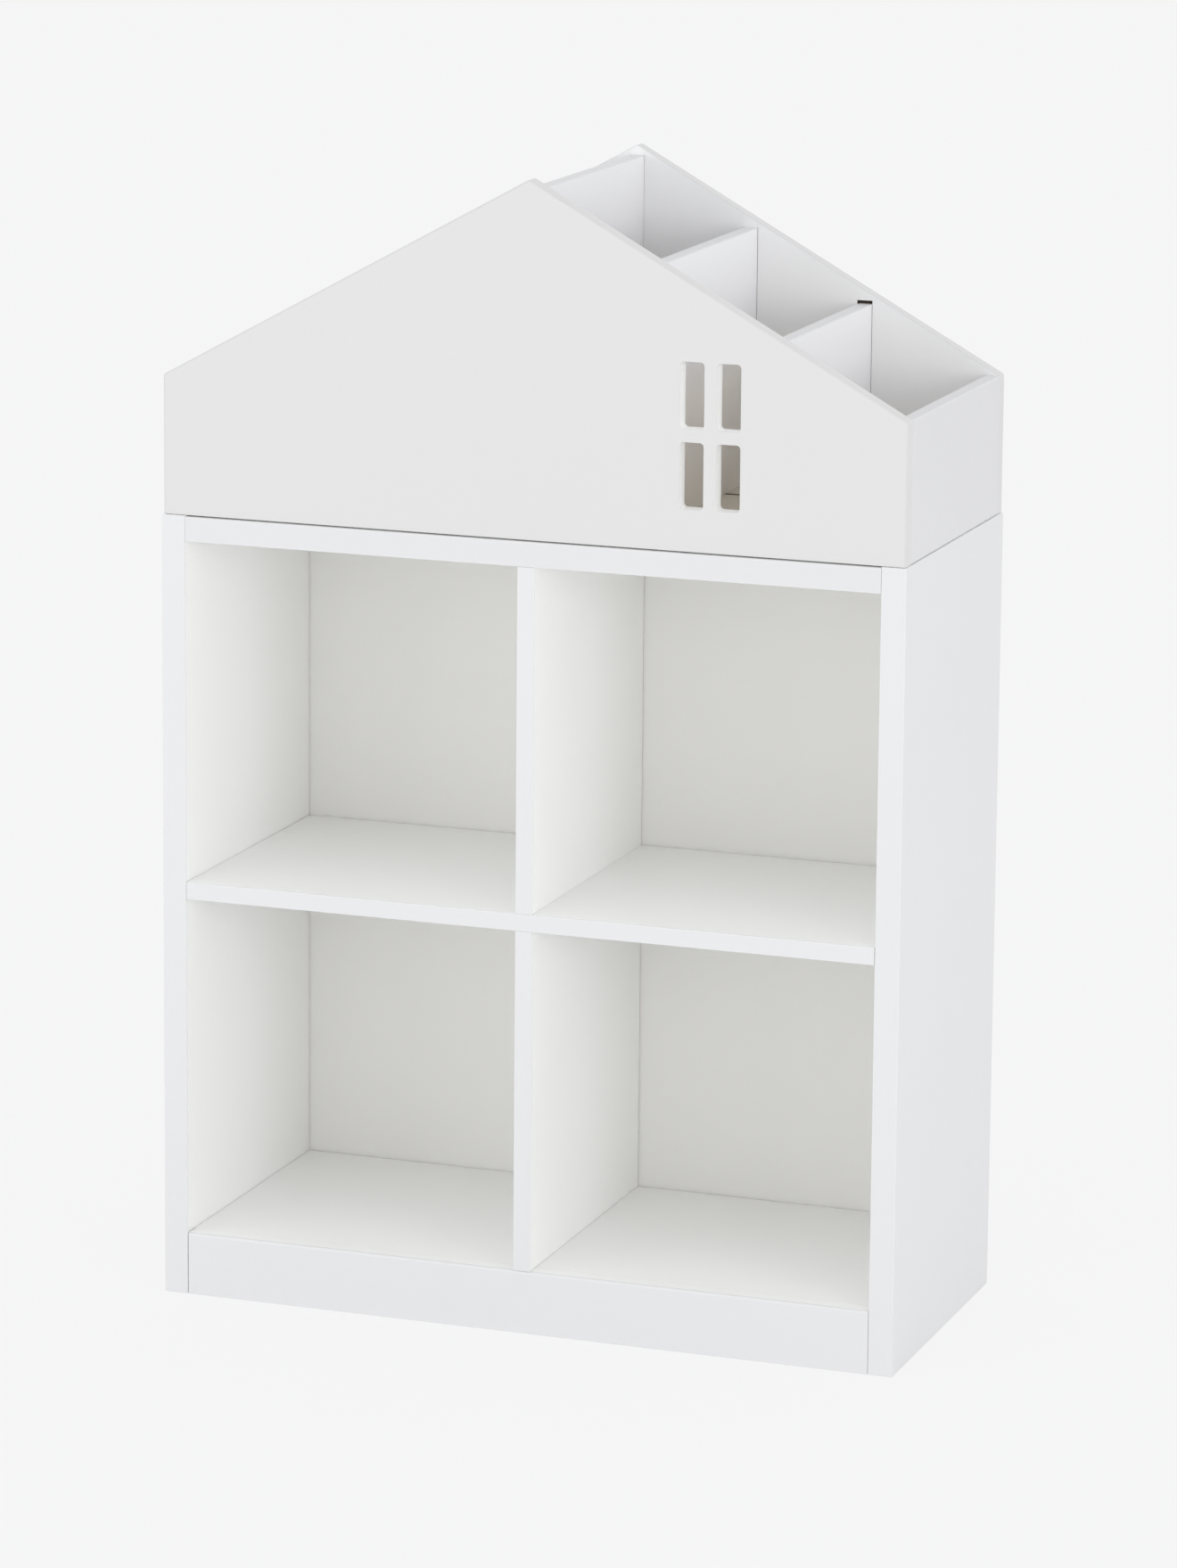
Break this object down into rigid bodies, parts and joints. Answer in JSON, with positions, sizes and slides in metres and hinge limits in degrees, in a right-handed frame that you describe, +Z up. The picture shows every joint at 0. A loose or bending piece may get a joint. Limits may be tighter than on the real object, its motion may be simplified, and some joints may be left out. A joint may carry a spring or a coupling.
{
  "type": "house shaped bookcase",
  "caption": "House shaped children's bookcase: an open case with shelves and centre dividers, under a gabled, open-topped divided box with a barred window.",
  "frame": {"origin": "on the floor, under the middle of the case's width and depth", "axes": "+Z up, +X to the right of someone who looks at the front, -Y out of the front"},
  "size_m": [0.77, 0.33, 1.152],
  "materials": {
    "case_paint": "satin white paint on fibreboard",
    "back_panel_paint": "satin white paint on thin fibreboard",
    "box_paint": "satin white paint on fibreboard",
    "zinc_steel": "bright zinc plating",
    "beech": "bare, fluted"
  },
  "bodies": {
    "root": {"left_side_panel": "case_paint", "right_side_panel": "case_paint", "top_board": "case_paint", "middle_shelf": "case_paint", "bottom_board": "case_paint", "plinth": "case_paint", "rear_rail": "case_paint", "upper_centre_divider": "case_paint", "lower_centre_divider": "case_paint", "back_panel": "back_panel_paint", "front_gable": "box_paint", "back_gable": "box_paint", "left_box_side": "box_paint", "right_box_side": "box_paint", "ridge_divider": "box_paint", "left_inner_divider": "box_paint", "left_outer_divider": "box_paint", "right_inner_divider": "box_paint", "right_outer_divider": "box_paint", "front_floor_board": "box_paint", "rear_floor_board": "box_paint", "cam_bolts": "zinc_steel", "cams": "zinc_steel", "box_divider_screws": "zinc_steel", "box_fixing_screws": "zinc_steel", "back_panel_screws": "zinc_steel", "case_dowels": "beech", "box_dowels": "beech"}
  },
  "joints": []
}
